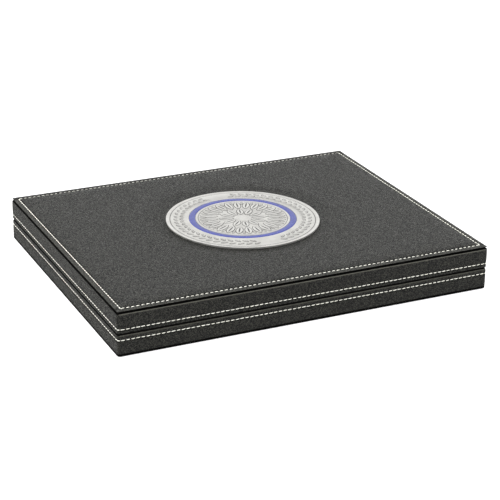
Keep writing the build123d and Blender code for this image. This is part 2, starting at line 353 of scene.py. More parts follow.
case_low, case_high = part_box("lid_side_wrap")
case_width = case_high.x - case_low.x
case_depth = case_high.y - case_low.y
corner_radius = 2.2 * mm
leather = 0.5 * mm
rim_radius, mouth_radius = 1.5 * mm, 0.8 * mm
shoulder_radius, foot_radius = 0.9 * mm, 0.6 * mm
face_to_mouth = 10 * mm
hem_inset = 15 * mm
stitch_from_rim = 4 * mm
# along the front or back, and along an end
straights = case_width - 2 * corner_radius, case_depth - 2 * corner_radius
stitch_counts = 78, 62
channel_depth, channel_half, pucker_depth = 0.26 * mm, 0.75 * mm, 0.16 * mm
# painted shade along the sewn channel: how dark it is, and its half width
channel_painted_shade, channel_painted_shade_half = 0.7, 1.1 * mm
side_fullness, side_ripple, ripple_length = 0.12 * mm, 0.05 * mm, 14 * mm

leaf_low, leaf_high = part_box("hinge_right_lid_leaf")
notch_ease = 0.3 * mm
notch_middle = (leaf_low.x + leaf_high.x) / 2
notch_half = (leaf_high.x - leaf_low.x) / 2 + notch_ease
notch_front = leaf_low.y - notch_ease
notch_depth = 1.0 * mm


def from_sides(spot):
    """How far a place lies from the nearer end, and from the front or back."""
    return case_width / 2 - abs(spot.x), case_depth / 2 - abs(spot.y)


def at_end(spot):
    """Whether a place is nearer to the left or right end than to the front or back."""
    from_end, from_front = from_sides(spot)
    return from_end < from_front


def leather_sides(name, body, node, z_hem, z_rim, z_leg_end, hem_edge_radius, painted_shade_height):
    """A band of leatherette between the hem's level and the rim's, with both edges turned in."""
    into_case = 1 if z_hem > z_rim else -1
    z_row = z_rim + into_case * stitch_from_rim
    height = abs(z_rim - z_hem)
    bpy.ops.mesh.primitive_cube_add(size=1, location=(0, 0, (z_hem + z_rim) / 2),
                                    scale=(case_width, case_depth, height))
    piece = made_piece(name)
    start_editing(piece)
    pick(piece, "FACE", lambda f: abs(f.normal.z) > 0.9)
    bpy.ops.mesh.delete(type="FACE")
    pick(piece, "EDGE", lambda e: abs(run_of(e).z) > height / 2)
    round_edges(corner_radius, 6)

    # two columns to a stitch along each straight side
    for along, count in enumerate(stitch_counts):
        pick(piece, "EDGE", lambda e: abs(run_of(e)[along]) > 0.1)
        bpy.ops.mesh.subdivide(number_cuts=2 * count - 1)

    # levels for the stitched channel and the soft fullness of the sides, then near the hem
    for step in (-2.0, -1.6, -1.0, -0.5, 0, 0.5, 1.0, 1.6, 3.2, 5.0, 7.0):
        cut(2, z_row + into_case * step * mm)
    for step in (1.2, 1.6, 2.1, 3.2):
        cut(2, z_hem - into_case * step * mm)

    def turn_in(was, now):
        """Extrudes the open edge level, from one distance inside the sides to another."""
        extrude(scale=((case_width - 2 * now) / (case_width - 2 * was),
                       (case_depth - 2 * now) / (case_depth - 2 * was), 1))

    # rim turned in to the mouth, and down inside as a leg; hem turned in over the board
    flange = 2.4 * mm
    pick(piece, "EDGE", lambda e: e.is_boundary and is_level(e, z_rim))
    turn_in(0, flange)
    turn_in(flange, face_to_mouth)
    extrude(move=(0, 0, z_leg_end - z_rim))
    pick(piece, "EDGE", lambda e: e.is_boundary and is_level(e, z_hem))
    turn_in(0, hem_inset)

    def on_fold(edge, z, at_mouth=False):
        """Edges along which the leatherette turns at this level, outside or at the mouth."""
        if any(abs(v.co.z - z) > touching for v in edge.verts) or len(edge.link_faces) != 2 \
                or not any(abs(f.normal.z) < 0.5 for f in edge.link_faces):
            return False
        from_side = min(from_sides(middle(edge)))
        return from_side > face_to_mouth / 2 if at_mouth else from_side < corner_radius / 2

    for z, radius, segments, at_mouth in ((z_rim, rim_radius, 6, False),
                                          (z_hem, hem_edge_radius, 4, False),
                                          (z_rim, mouth_radius, 2, True)):
        pick(piece, "EDGE", lambda e: on_fold(e, z, at_mouth))
        round_edges(radius, segments)

    # openings in the back rim, where the hinge leaves lie
    cut(2, z_rim + into_case * notch_depth)
    cut(1, notch_front)
    for x in (notch_middle - notch_half, notch_middle + notch_half):
        cut(0, x)
        cut(0, -x)
    pick(piece, "FACE", lambda f: abs(abs(f.calc_center_median().x) - notch_middle) < notch_half
         and f.calc_center_median().y > notch_front
         and abs(f.calc_center_median().z - z_rim) < notch_depth)
    bpy.ops.mesh.delete(type="FACE")
    stop_editing(turn_outwards=True)

    # the sewn channel, the needle's puckers and a little fullness
    on_face = 0.05 * mm
    for vertex in piece.data.vertices:
        x, y, z = vertex.co
        past_end, past_front = (max(corner_radius - inside, 0) for inside in from_sides(vertex.co))
        outward = Vector((math.copysign(past_end, x), math.copysign(past_front, y), 0))
        if outward.length < corner_radius - on_face:
            continue
        outward.normalize()
        stitches = 0.5
        if past_end < on_face:
            stitches = (x / straights[0] + 0.5) * stitch_counts[0]
        if past_front < on_face:
            stitches = (y / straights[1] + 0.5) * stitch_counts[1]
        above = part_of((z - z_row) * into_case, height - stitch_from_rim)
        ripple = side_ripple * swells(x, y, z, ripple_length) * min(above * 4, 1)
        dip = channel_depth + pucker_depth * needle_hole(stitches)
        dip *= fading(z - z_row, channel_half)
        vertex.co += outward * (side_fullness * math.sin(math.pi * above) + ripple - dip)

    z_upper, z_lower = max(z_hem, z_rim), min(z_hem, z_rim)

    def stretch_and_painted_highlight_there(spot):
        """1 over the upper rounded edge along the front and back, where a highlight is painted and
        the grain is pressed; a tenth of that at the ends.
        """
        upper = fading(spot.z - z_upper + 0.45 * mm, 0.45 * mm)
        return upper * fading(min(from_sides(spot)), 0.6 * mm) * (0.1 if at_end(spot) else 1)

    def painted_shade_there(spot):
        """1 where shade is painted with the black finish: round each rim's edge, under the base, on
        the lid's hem.
        """
        from_side = min(from_sides(spot))
        past_rim = from_side > rim_radius + 0.1 * mm
        clear = (0.05 if at_end(spot) else 0.2) * mm
        if z_hem > z_rim and spot.z > z_hem - 0.7 * mm:
            return part_of(from_side - clear, clear + 0.1 * mm)
        if z_hem > z_rim and past_rim:
            return 0
        if z_hem < z_rim and spot.z > z_rim - 0.5 * mm and not past_rim:
            return part_of(from_side - 2.5 * clear, 0.3 * mm)
        return part_of(z_lower + painted_shade_height - spot.z, 0.6 * mm)

    def channel_or_fold_painted_shade(spot):
        """The share of painted shade in the sewn channel, or on the fold."""
        return max(channel_painted_shade * fading(spot.z - z_row, channel_painted_shade_half), painted_shade_there(spot))

    modify(piece, "SOLIDIFY", thickness=leather, offset=-1, use_even_offset=True)
    # edge carries the painted highlight, and fold the painted shade
    mark(piece, "edge", stretch_and_painted_highlight_there)
    mark(piece, "fold", channel_or_fold_painted_shade)
    smooth(piece, 40)
    finish_piece(piece, leatherette, "leatherette", body, node)
    paint_shade_faces(piece, painted_shade_there)
    return z_row


lid_rim_z, shoulder_z = case_low.z, case_high.z
lid_row_z = leather_sides("lid_side_leather", "lid", "lid_side_wrap", shoulder_z, lid_rim_z,
                          lid_rim_z + 9.6 * mm, shoulder_radius, 1.5 * mm)

# ======== leatherette over the base's four sides ========
# The same band the other way up: rim at the top, hem turned in under the floor board.

base_low, base_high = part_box("base_side_wrap")
base_row_z = leather_sides("base_side_leather", "base", "base_side_wrap", base_low.z, base_high.z,
                           base_high.z - 3.8 * mm, foot_radius, 2.3 * mm)

# ======== top panel ========
# Card and thin padding in leatherette, sewn 4 to 5 mm in from its edge and glued on the lid.
# Its thin rolled edge stands over a groove, both given painted shade, and the medallion presses
# into its middle.

panel_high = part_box("lid_top_panel")[1]
panel_half = Vector((panel_high.x, panel_high.y))
margin = 4.6 * mm
row_half = panel_half - Vector((margin, margin))
sewn_half = row_half + Vector((0.4 * mm, -0.6 * mm))
panel_pitch = [2 * sewn_half[axis] / stitch_counts[axis] for axis in (0, 1)]
medal_low, medal_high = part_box("medallion_disc")
medal_middle = (medal_low + medal_high) / 2
medal_radius = (medal_high.x - medal_low.x) / 2
panel_crown, crown_reach = 1.4 * mm, 5.5 * mm
panel_swell, swell_length = 0.05 * mm, 24 * mm
medal_clear, medal_slope = 1.5 * mm, 16 * mm
margin_rise, margin_width = 0.16 * mm, 4.4 * mm
row_depth, hole_depth, deepest = 0.2 * mm, 0.12 * mm, 0.34 * mm
panel_corner = 1.4 * mm
# from the stitched row, in mm outwards and up: margin, rolled edge, groove and the hem below
edge_profile = (0, 0), (0.5, 0), (1.0, 0), (1.7, 0), (2.6, 0), (3.3, -0.02), (3.8, -0.07), \
    (4.2, -0.12), (4.5, -0.26), (4.45, -0.34), (4.1, -0.38), (3.4, -0.42), (2.8, -0.5), \
    (2.4, -0.8), (2.3, -1.68), (-6.0, -1.68)


def cut_inside(half, *insides):
    """Cuts lines all round, each so many millimetres inside a rectangle of these half sizes."""
    for axis in (0, 1):
        for inside in insides:
            cut(axis, half[axis] - inside * mm)
            cut(axis, -half[axis] + inside * mm)


bpy.ops.mesh.primitive_grid_add(
    x_subdivisions=2 * stitch_counts[0], y_subdivisions=2 * stitch_counts[1], size=1,
    location=(0, 0, panel_high.z))
bpy.context.active_object.scale = (2 * row_half.x, 2 * row_half.y, 1)
top_panel = made_piece("lid_top_leather")
start_editing(top_panel)
cut_inside(row_half, 0.5, 1.0, 1.5)
for (was_out, was_down), (out_by, down) in zip(edge_profile, edge_profile[1:]):
    pick(top_panel, "EDGE", lambda e: e.is_boundary)
    extrude()
    reach = row_half + Vector((was_out, was_out)) * mm
    for axis in (0, 1):
        for side in (-1, 1):
            pick(top_panel, "VERT", lambda v: v.is_boundary
                 and v.co[axis] * side > reach[axis] - touching)
            step = [0, 0, 0]
            step[axis] = side * (out_by - was_out) * mm
            bpy.ops.transform.translate(value=step)
    pick(top_panel, "VERT", lambda v: v.is_boundary)
    bpy.ops.transform.translate(value=(0, 0, (down - was_down) * mm))
cut_inside(panel_half, 0.3, 0.6, 1.0, 1.4, 2.6)
stop_editing(turn_outwards=True)


def panel_rise(x, y):
    """How far the padded top stands above its sewn level at a place."""
    inside = min(row_half.x - abs(x), row_half.y - abs(y))
    from_medal = math.hypot(x - medal_middle.x, y - medal_middle.y) - medal_radius
    if inside > 0:
        clear = part_of(from_medal - medal_clear, medal_slope)
        rise = panel_crown * (1 - math.exp(-inside / crown_reach)) * clear * clear * (3 - 2 * clear)
        rise += panel_swell * swells(x, y, 0, swell_length) * clear
    else:
        rise = margin_rise * math.sin(math.pi * min(-inside / margin_width, 1))
    past = Vector((abs(x) - sewn_half.x, abs(y) - sewn_half.y))
    for from_row, past_end, run, pitch in ((past.y, past.x, x + sewn_half.x, panel_pitch[0]),
                                           (past.x, past.y, y + sewn_half.y, panel_pitch[1])):
        if past_end <= 0.2 * mm:
            dip = row_depth + hole_depth * needle_hole(run / pitch)
            rise -= fading(from_row, channel_half) * dip
    return max(rise, -deepest)


for vertex in top_panel.data.vertices:
    x, y, z = vertex.co
    if z > panel_high.z - 0.02 * mm:
        vertex.co.z += panel_rise(x, y)
    past = Vector((abs(x), abs(y))) - panel_half + Vector((panel_corner, panel_corner))
    if min(past) > 0:
        past *= max(past) / past.length
        vertex.co.x = math.copysign(panel_half.x - panel_corner + past.x, x)
        vertex.co.y = math.copysign(panel_half.y - panel_corner + past.y, y)


def panel_stretch_and_painted_highlight(spot):
    """The share of painted highlight over the raised margin outside the stitches, most of all along
    its edge.
    """
    from_edge = min(panel_half.x - abs(spot.x), panel_half.y - abs(spot.y))
    return 0.18 * fading(from_edge, 3.4 * mm, 4) if spot.z > panel_high.z - 0.35 * mm else 0


def panel_painted_shade(spot):
    """1 where shade is painted: on the rolled edge, below the rim of the margin, and in the groove
    under it.
    """
    past_row = max(abs(spot.x) - row_half.x, abs(spot.y) - row_half.y)
    lit = (0.3 if at_end(spot) else 0.16) * mm
    return part_of(panel_high.z - lit - spot.z, 0.1 * mm) if past_row > 2 * mm else 0


def panel_channel_painted_shade(spot):
    """The share of painted shade in the sewn channel, or on the rolled edge and in the groove."""
    from_row = min(abs(abs(spot.x) - sewn_half.x), abs(abs(spot.y) - sewn_half.y))
    return max(channel_painted_shade * fading(from_row, 1.2 * mm), panel_painted_shade(spot))


modify(top_panel, "SOLIDIFY", thickness=leather / 2, offset=-1)
# edge carries the painted highlight, and fold the painted shade
mark(top_panel, "edge", panel_stretch_and_painted_highlight)
mark(top_panel, "fold", panel_channel_painted_shade)
smooth(top_panel, 40)
finish_piece(top_panel, leatherette, "leatherette", "lid", "lid_top_panel")
paint_shade_faces(top_panel, panel_painted_shade)

# ======== stitching ========
# Ivory polyester thread, sewn at about 3.8 mm to the stitch, each one a short slanting dash.
# Each dash dips into a needle hole at both ends.

thread, shader, place = new_finish("ivory thread", Roughness=0.75, Specular_IOR_Level=0.25)
twist, strands = 95.0, 2
turn = place_node("SeparateXYZ", {0: place_node("UVMap", tree=shader.id_data).outputs[0]}).outputs
plies = maths("SINE", scaled(turn[1], twist, scaled(turn[0], 2 * math.pi * strands)))
ivory = slow_shade(place, 5, (250, 249, 236), (255, 255, 246))
feed(shader, Base_Color=flecked(ivory, plies, (-1.0, -0.4), (0.25, 0.0), (180, 173, 148)))
emboss(shader, plies, 0.6, 0.06)

dash_length, dash_radius = 3.4 * mm, 0.32 * mm
dash_taper, dash_flatness, dash_rise, dash_dip = 0.4, 0.8, 0.14 * mm, 0.40 * mm
bpy.ops.mesh.primitive_cylinder_add(vertices=6, radius=dash_radius, depth=dash_length,
                                    end_fill_type="NGON", rotation=(0, math.pi / 2, 0))
dash = made_piece("stitch")
start_editing(dash)
pick(dash, "EDGE", lambda e: abs(run_of(e).x) > dash_length / 2)
bpy.ops.mesh.subdivide(number_cuts=4)
stop_editing()
for vertex in dash.data.vertices:
    along = 2 * vertex.co.x / dash_length
    slim = 1 - dash_taper * abs(along) ** 3
    vertex.co.y *= slim
    vertex.co.z = vertex.co.z * slim * dash_flatness + dash_rise - dash_dip * along * along
smooth(dash, 60)


def copy_of(piece):
    copy = piece.copy()
    copy.data = piece.data.copy()
    scene.collection.objects.link(copy)
    return copy


def join(pieces, name):
    """Joins the pieces into the first of them."""
    take(pieces[0])
    for piece in pieces:
        piece.select_set(True)
    bpy.ops.object.join()
    pieces[0].name = pieces[0].data.name = name
    return pieces[0]


def sew(name, body, path, dashes, slant, seed):
    """Copies the stitch along a path. path(s) gives a point, the way on and the way out."""
    chance = random.Random(seed)
    copies = []
    for at in dashes:
        tilt = slant + chance.uniform(-0.035, 0.035)
        lift = chance.uniform(-0.03, 0.04) * mm
        stretch = chance.uniform(0.95, 1.04)
        sideways = chance.uniform(-0.05, 0.05) * mm
        copies.append(copy_of(dash))
        for vertex in copies[-1].data.vertices:
            x, y, z = vertex.co
            spot, onward, outward = path(at + x * stretch)
            aside = outward.cross(onward)
            vertex.co = spot + aside * (y + sideways + x * tilt) + outward * (z + lift)
    finish_piece(join(copies, name), thread, "thread", body)


def around_case(z_row):
    """The closed line round the sides at one level, and where its dashes lie."""
    arc = corner_radius * math.pi / 2
    runs, dashes, total = [], [], 0
    for side in range(4):
        length, count = straights[side % 2], stitch_counts[side % 2]
        runs.append((total, length, side))
        dashes += [total + length / count * (k + 0.5) for k in range(count)]
        dashes.append(total + length + arc / 2)
        total += length + arc

    def path(s):
        s %= total
        for start, length, side in runs:
            if s < start + length + arc:
                break
        heading = Matrix.Rotation(side * math.pi / 2, 3, "Z")
        run = s - start
        angle = max(run - length, 0) / corner_radius
        onward = Vector((math.cos(angle), math.sin(angle), 0))
        outward = Vector((math.sin(angle), -math.cos(angle), 0))
        half_y = (case_depth, case_width)[side % 2] / 2
        centre = Vector((min(run, length) - length / 2, corner_radius - half_y, z_row))
        spot = centre + outward * (corner_radius - channel_depth)
        return heading @ spot, heading @ onward, heading @ outward

    return path, dashes


sew("lid_side_thread", "lid", *around_case(lid_row_z), 0.05, 11)
sew("base_side_thread", "base", *around_case(base_row_z), 0.05, 12)

rows_apart = 10


def across_top(s):
    """The four straight rows of the top panel, one after another, rows_apart metres apart in s."""
    side = round(s / rows_apart)
    heading = Matrix.Rotation(side * math.pi / 2, 3, "Z")
    half_y = (sewn_half.y, sewn_half.x)[side % 2]
    spot = Vector((s - side * rows_apart, -half_y, panel_high.z - row_depth))
    return heading @ spot, heading @ Vector((1, 0, 0)), Vector((0, 0, 1))


dashes = []
for side in range(4):
    count = stitch_counts[side % 2]
    dashes += [side * rows_apart + panel_pitch[side % 2] * (k + 0.5 - count / 2)
               for k in range(count)]
sew("top_panel_thread", "lid", across_top, dashes, 0.06, 13)
bpy.data.objects.remove(dash)

# ======== medallion ========
# A thick disc struck in a pale nickel alloy, with a milled edge, a raised rim and a blue ring.
# Its centre holds a rosette of petals and its band two sprays of leaves, all outlined dark.

nickel, shader, place = new_finish("struck nickel alloy", Metallic=1.0, Roughness=0.34)
dark_share, polish = mark_on(shader, "patina"), mark_on(shader, "polish")
sand = speckle(place, 2600.0, 2.0, Roughness=0.6)
sanded = flecked(slow_shade(place, 9, (194, 193, 189), (208, 207, 203)),
                 sand, (0.3, 0.7), (0.14, 0.0), (160, 159, 156))
dull = scaled(polish, -0.2, scaled(sand, 0.12, 0.33))
feed(shader, Base_Color=blend_colours(scaled(dark_share, 0.97), sanded, linear(38, 37, 36)),
     Metallic=scaled(dark_share, -0.55, 1.0), Roughness=scaled(dark_share, 0.25, dull))
emboss(shader, scaled(sand, maths("SUBTRACT", 1.0, polish)), 0.5, 0.03)

field_z, rim_z = medal_high.z - 0.16 * mm, medal_high.z - 0.55 * mm
edge_facets = 360
bpy.ops.mesh.primitive_cylinder_add(
    vertices=edge_facets, radius=medal_radius, depth=rim_z - medal_low.z,
    location=(medal_middle.x, medal_middle.y, (rim_z + medal_low.z) / 2))
medallion = made_piece("medallion_struck")
start_editing(medallion)
pick(medallion, "FACE", lambda f: f.normal.z > 0.9)
# radius and height in mm: rim, band with its engraved line, lips, the ring's seat and middle
struck_profile = (61.3, -0.55), (61.15, -0.55), (59.5, -0.55), (59.2, -0.72), (58.35, -0.68), \
    (58.25, -0.82), (57.85, -0.8), (57.75, -0.66), (44.1, -0.16), (43.9, -0.04), (43.35, -0.04), \
    (43.15, -0.12), (43.1, -0.48), (37.8, -0.48), (37.75, -0.12), (37.55, -0.04), (37.0, -0.04), \
    (36.8, -0.16), (35.9, -0.16), (35.75, -0.28), (35.5, -0.28), (35.35, -0.16), (6.4, -0.16), \
    (6.1, 0.0), (5.5, 0.0), (5.3, -0.12), (3.6, -0.12), (2.6, 0.0), (1.3, 0.0)
for (was_r, was_z), (r, z) in zip(struck_profile, struck_profile[1:]):
    bpy.ops.mesh.inset(thickness=(was_r - r) * mm, depth=(z - was_z) * mm)
pick(medallion, "EDGE", lambda e: is_level(e, rim_z)
     and (middle(e) - medal_middle).xy.length > medal_radius - 0.05 * mm
     and run_of(e).xy.length > 0.5 * mm)
round_edges(0.1 * mm, 1)


def milled(face):
    """Whether a face is one of every other facet of the edge, which are pressed in."""
    spot = face.calc_center_median() - medal_middle
    facet = math.floor(math.atan2(spot.y, spot.x) / (2 * math.pi / edge_facets))
    return abs(face.normal.z) < 0.2 and spot.xy.length > medal_radius - 0.2 * mm and facet % 2 == 0


pick(medallion, "FACE", milled)
bpy.ops.mesh.inset(thickness=0.14 * mm, depth=-0.1 * mm, use_individual=True)
stop_editing()


band_inner, band_width, band_drop = 44.1 * mm, 13.65 * mm, 0.5 * mm


def band_fall(out_by):
    """How far the sloping band lies under the level field, at a distance from the middle."""
    return band_drop * part_of(out_by - band_inner, band_width)


def over_field(spot):
    """How far out a spot of the medallion lies, and how high over its field or band."""
    out_by = (spot - medal_middle).xy.length
    return out_by, spot.z - (field_z - band_fall(out_by))


def in_groove(spot):
    """Whether a spot lies at the bottom of an engraved line or the seat of the blue ring."""
    out_by, over = over_field(spot)
    return 35.4 * mm < out_by < 58.4 * mm and over < -0.08 * mm


def polished(spot):
    """Whether a spot lies on the rim, the lips or the raised ornament."""
    out_by, over = over_field(spot)
    return over > 0.1 * mm or out_by > 59.3 * mm and spot.z > rim_z - 0.05 * mm


mark(medallion, "patina", in_groove)
mark(medallion, "polish", polished)
smooth(medallion, 30)


def struck_leaf(name, *sizes):
    """A pointed leaf with a dark outline and vein, by length, width, line and rise in mm."""
    length, width, line, rise = (size * mm for size in sizes)
    outline = 0.1 * mm
    bpy.ops.mesh.primitive_cylinder_add(vertices=14, radius=0.5, depth=2 * outline)
    leaf = made_piece(name)
    for vertex in leaf.data.vertices:
        turn = math.atan2(vertex.co.y, vertex.co.x)
        vertex.co.x = length / 2 * math.cos(turn)
        vertex.co.y = width / 2 * math.copysign(abs(math.sin(turn)) ** 1.4, math.sin(turn))
    start_editing(leaf)
    pick(leaf, "FACE", lambda f: f.normal.z > 0.9)
    bpy.ops.mesh.inset(thickness=line, depth=0)
    bpy.ops.mesh.inset(thickness=line * 0.35, depth=rise * 0.6)
    extrude(scale=(0.86, 0.3, 1), move=(0, 0, rise * 0.4))
    extrude(scale=(0.9, 0.55, 1), move=(0, 0, -rise * 0.3))
    stop_editing()
    top = max(v.co.z for v in leaf.data.vertices)
    mark(leaf, "patina", lambda spot: spot.z < outline + 0.01 * mm
         or top - rise * 0.35 < spot.z < top - rise * 0.25)
    mark(leaf, "polish", lambda spot: spot.z > outline + rise * 0.3)
    smooth(leaf, 20)
    return leaf


ornaments = [medallion]
sunk = 0.07 * mm


def strike(pattern, out_by, turn, tilt=0.0):
    """Puts a copy of an ornament on the medallion: so many mm out, turned, tilted from radial."""
    out_by *= mm
    spot = Vector((medal_middle.x, medal_middle.y, field_z - sunk - band_fall(out_by)))
    ornaments.append(copy_of(pattern))
    ornaments[-1].data.transform(
        Matrix.Translation(spot) @ Matrix.Rotation(turn, 4, "Z")
        @ Matrix.Translation((out_by, 0, 0)) @ Matrix.Rotation(tilt, 4, "Z"))


outer_petal = struck_leaf("outer petal", 15.2, 6.4, 0.42, 0.24)
inner_petal = struck_leaf("inner petal", 12.6, 6.0, 0.38, 0.22)
dart = struck_leaf("dart", 6.0, 2.6, 0.3, 0.18)
spray_leaf = struck_leaf("spray leaf", 6.6, 2.9, 0.38, 0.2)
for k in range(24):
    strike(outer_petal, 27.2, k * math.pi / 12)
    strike(dart, 31.6, (k + 0.5) * math.pi / 12)
for k in range(12):
    strike(inner_petal, 13.2, (k + 0.5) * math.pi / 6)
spray_gap, spray_turn, spray_leaves = math.radians(12), math.radians(6.9), 23
for side in (-1, 1):
    for k in range(spray_leaves):
        turn = -math.pi / 2 + side * (spray_gap + k * spray_turn)
        strike(spray_leaf, 53.1, turn, side * math.radians(55))
        strike(spray_leaf, 48.3, turn + side * spray_turn / 2, side * math.radians(125))
for pattern in (outer_petal, inner_petal, dart, spray_leaf):
    bpy.data.objects.remove(pattern)
finish_piece(join(ornaments, "medallion_struck"), nickel, "medallion_metal", "lid",
             "medallion_disc")

# ======== blue ring ========
# Translucent blue enamel, poured into the seat between the lips and slightly domed.

enamel, shader, place = new_finish(
    "blue enamel", Roughness=0.2, Specular_IOR_Level=0.4, Coat_Weight=0.1, Coat_Roughness=0.1)
cloud = speckle(place, 900.0, 3.0)
blue = slow_shade(place, 6, (26, 38, 120), (36, 50, 134))
feed(shader, Roughness=ramp(cloud, 0.3, 0.8, 0.14, 0.3),
     Base_Color=flecked(blue, cloud, (0.35, 0.75), (0.0, 0.35), (46, 62, 146)))
emboss(shader, speckle(place, 220.0, 1.0), 0.3, 0.05)

ring_low, ring_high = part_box("medallion_enamel_ring")
ring_outer, ring_inner = 43.1 * mm, 37.8 * mm
half_width = (ring_outer - ring_inner) / 2
bpy.ops.mesh.primitive_torus_add(
    major_segments=216, minor_segments=14, major_radius=(ring_outer + ring_inner) / 2,
    minor_radius=half_width, location=(medal_middle.x, medal_middle.y, ring_low.z))
blue_ring = made_piece("medallion_blue_enamel")
for vertex in blue_ring.data.vertices:
    swell = (vertex.co.z - ring_low.z) / half_width
    vertex.co.z = ring_low.z if swell < 0 else \
        ring_low.z + (ring_high.z - ring_low.z + 0.02 * mm) * swell ** 0.35
smooth(blue_ring, 50)
finish_piece(blue_ring, enamel, "enamel", "lid", "medallion_enamel_ring")

# ======== coin tray ========
# Board punched with twenty round pockets under midnight-blue flock, tight inside the base.
# The mouths of the pockets are softly rounded by the flock.

flock, shader, place = new_finish(
    "midnight blue flock", Roughness=0.95, Specular_IOR_Level=0.1, Sheen_Weight=0.3,
    Sheen_Roughness=0.5, Sheen_Tint=linear(110, 130, 215))
nap = speckle(place, 2400.0, 3.0)
brushed = speckle(place, 28.0, 3.0, Distortion=0.8)
lit_nap = flecked(slow_shade(place, 35, (13, 19, 50), (19, 27, 66)),
                  brushed, (0.48, 0.66), (0.0, 0.25), (34, 44, 96))
feed(shader, Base_Color=flecked(lit_nap, nap, (0.35, 0.65), (0.5, 0.0), (10, 14, 40)))
emboss(shader, scaled(brushed, 0.8, nap), 0.8, 0.15)

tray_low, tray_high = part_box("coin_tray")
pocket_columns, pocket_rows = 5, 4
pocket_pitch = (55 * mm, 54 * mm)
pocket_radius = 23 * mm
# the flocked mouth, from its outer edge down: how far outside the pocket, and how high
mouth_profile = (1.2, 0.0), (0.75, -0.06), (0.35, -0.26), (0.1, -0.6), (0, -1.1)
mouth_radius = pocket_radius + mouth_profile[0][0] * mm
bpy.ops.mesh.primitive_circle_add(vertices=64, radius=mouth_radius, location=(0, 0, tray_high.z))
cell = made_piece("pocket cell")


def spread_to_square(level):
    """Extrudes the round edge at one level outwards, to the edge of its square cell."""
    pick(cell, "EDGE", lambda e: len(e.link_faces) < 2 and is_level(e, level))
    bpy.ops.mesh.extrude_region()
    mesh = bmesh.from_edit_mesh(cell.data)
    for vertex in mesh.verts:
        if vertex.select:
            x, y = vertex.co.xy
            half_x, half_y = pocket_pitch[0] / 2, pocket_pitch[1] / 2
            if abs(abs(x) - abs(y)) < 0.01 * mm:
                vertex.co.xy = math.copysign(half_x, x), math.copysign(half_y, y)
            else:
                grow = min(half_x / max(abs(x), 1e-9), half_y / max(abs(y), 1e-9))
                vertex.co.xy = x * grow, y * grow
    bmesh.update_edit_mesh(cell.data)


def pick_mouth(within):
    """Selects the open edge inside this distance from the pocket's middle."""
    pick(cell, "EDGE", lambda e: e.is_boundary and middle(e).xy.length < within)


start_editing(cell)
spread_to_square(tray_high.z)
for (was_out, was_z), (out_by, z) in zip(mouth_profile, mouth_profile[1:]):
    pick_mouth(pocket_radius + 1.3 * mm)
    share = (pocket_radius + out_by * mm) / (pocket_radius + was_out * mm)
    extrude(scale=(share, share, 1), move=(0, 0, z * mm - was_z * mm))
pick_mouth(pocket_radius + 0.1 * mm)
extrude(move=(0, 0, tray_low.z - tray_high.z - z * mm))
spread_to_square(tray_low.z)
stop_editing()

cells = []
for column in range(pocket_columns):
    for row in range(pocket_rows):
        cells.append(copy_of(cell))
        cells[-1].data.transform(Matrix.Translation((
            (column - (pocket_columns - 1) / 2) * pocket_pitch[0],
            (row - (pocket_rows - 1) / 2) * pocket_pitch[1], 0)))
bpy.data.objects.remove(cell)
tray = join(cells, "coin_tray_flocked")
start_editing(tray)
bpy.ops.mesh.select_all(action="SELECT")
bpy.ops.mesh.remove_doubles(threshold=0.02 * mm)
for level in (tray_high.z, tray_low.z):
    pick(tray, "EDGE", lambda e: e.is_boundary and is_level(e, level))
    extrude(scale=(tray_high.x / (pocket_columns * pocket_pitch[0] / 2),
                   tray_high.y / (pocket_rows * pocket_pitch[1] / 2), 1))
pick(tray, "EDGE", lambda e: e.is_boundary)
bpy.ops.mesh.bridge_edge_loops()
pick(tray, "EDGE", lambda e: is_level(e, tray_high.z)
     and any(abs(f.normal.z) < 0.5 for f in e.link_faces)
     and any(abs(middle(e)[axis]) > tray_high[axis] - 0.01 * mm for axis in (0, 1)))
round_edges(0.8 * mm, 3)
stop_editing(turn_outwards=True)
smooth(tray, 40)
finish_piece(tray, flock, "tray_flock", "base", "coin_tray")

# ======== soft floor of the pockets ========
# A foam sheet under flock; each pocket's floor swells a little between its walls.

def foam_block(name, low, high, corner, segments):
    """A block with its upright edges rounded, left open for editing."""
    bpy.ops.mesh.primitive_cube_add(size=1, location=(low + high) / 2, scale=high - low)
    piece = made_piece(name)
    start_editing(piece)
    pick(piece, "EDGE", lambda e: abs(run_of(e).z) > 1 * mm)
    round_edges(corner, segments)
    return piece


pad_low, pad_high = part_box("tray_floor_pad")
pad_swell, pad_sag = 0.5 * mm, 0.05 * mm
floor_pad = foam_block("tray_floor_flocked", pad_low, pad_high, 1 * mm, 2)
for axis, lines in ((0, 52), (1, 42)):
    for line in range(1, lines):
        cut(axis, -pad_high[axis] + 2 * pad_high[axis] * line / lines)
stop_editing()
for vertex in floor_pad.data.vertices:
    x, y, z = vertex.co
    if z > pad_high.z - 0.01 * mm:
        across = (x / pocket_pitch[0] + 0.5) % 1 - 0.5
        along = (y / pocket_pitch[1]) % 1 - 0.5
        away = math.hypot(across * pocket_pitch[0], along * pocket_pitch[1]) / pocket_radius
        vertex.co.z += pad_swell * max(1 - away * away, 0) - pad_sag
smooth(floor_pad, 40)
finish_piece(floor_pad, flock, "tray_flock", "base", "tray_floor_pad")

# ======== satin lining of the lid ========
# Ivory satin over soft foam, gathered at its edges and glued under the roof on a card.
# It is blown up as cloth, then its gathers are drawn in.

def woven(place, direction, per_metre, distortion, detail, detail_scale):
    """Threads across one direction, so many to the metre, which wander a little."""
    return place_node("TexWave", {
        "Vector": place, "Scale": per_metre, "Distortion": distortion, "Detail": detail,
        "Detail Scale": detail_scale}, bands_direction=direction).outputs["Fac"]


